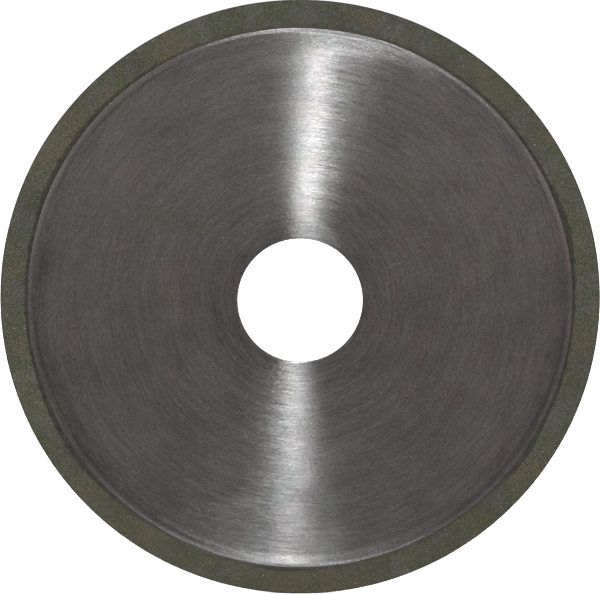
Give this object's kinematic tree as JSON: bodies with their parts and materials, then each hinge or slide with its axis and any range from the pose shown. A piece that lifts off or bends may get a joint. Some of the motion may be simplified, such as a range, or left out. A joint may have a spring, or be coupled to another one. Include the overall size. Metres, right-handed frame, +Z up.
{
  "type": "diamond grinding wheel",
  "caption": "Thin flat grinding wheel: a ground steel disc with a plain arbor bore, and a resin-bonded diamond rim keyed onto its edge by a thin bond layer.",
  "frame": {"origin": "centre of the arbor bore, on the wheel's mid-plane", "axes": "+Y along the spin axis with the front face towards -Y, +Z up, +X to the right seen from the front"},
  "size_m": [0.1524, 0.0016, 0.1524],
  "materials": {
    "core_steel": "circularly ground, satin, strongly directional sheen, lightly stained",
    "bond_resin": "dark phenolic resin, matt",
    "diamond_abrasive": "olive-grey diamond and resin compound, matt, fine grit with small glints"
  },
  "bodies": {
    "root": {"core_disc": "core_steel", "bond_ring": "bond_resin", "abrasive_rim": "diamond_abrasive"}
  },
  "joints": []
}
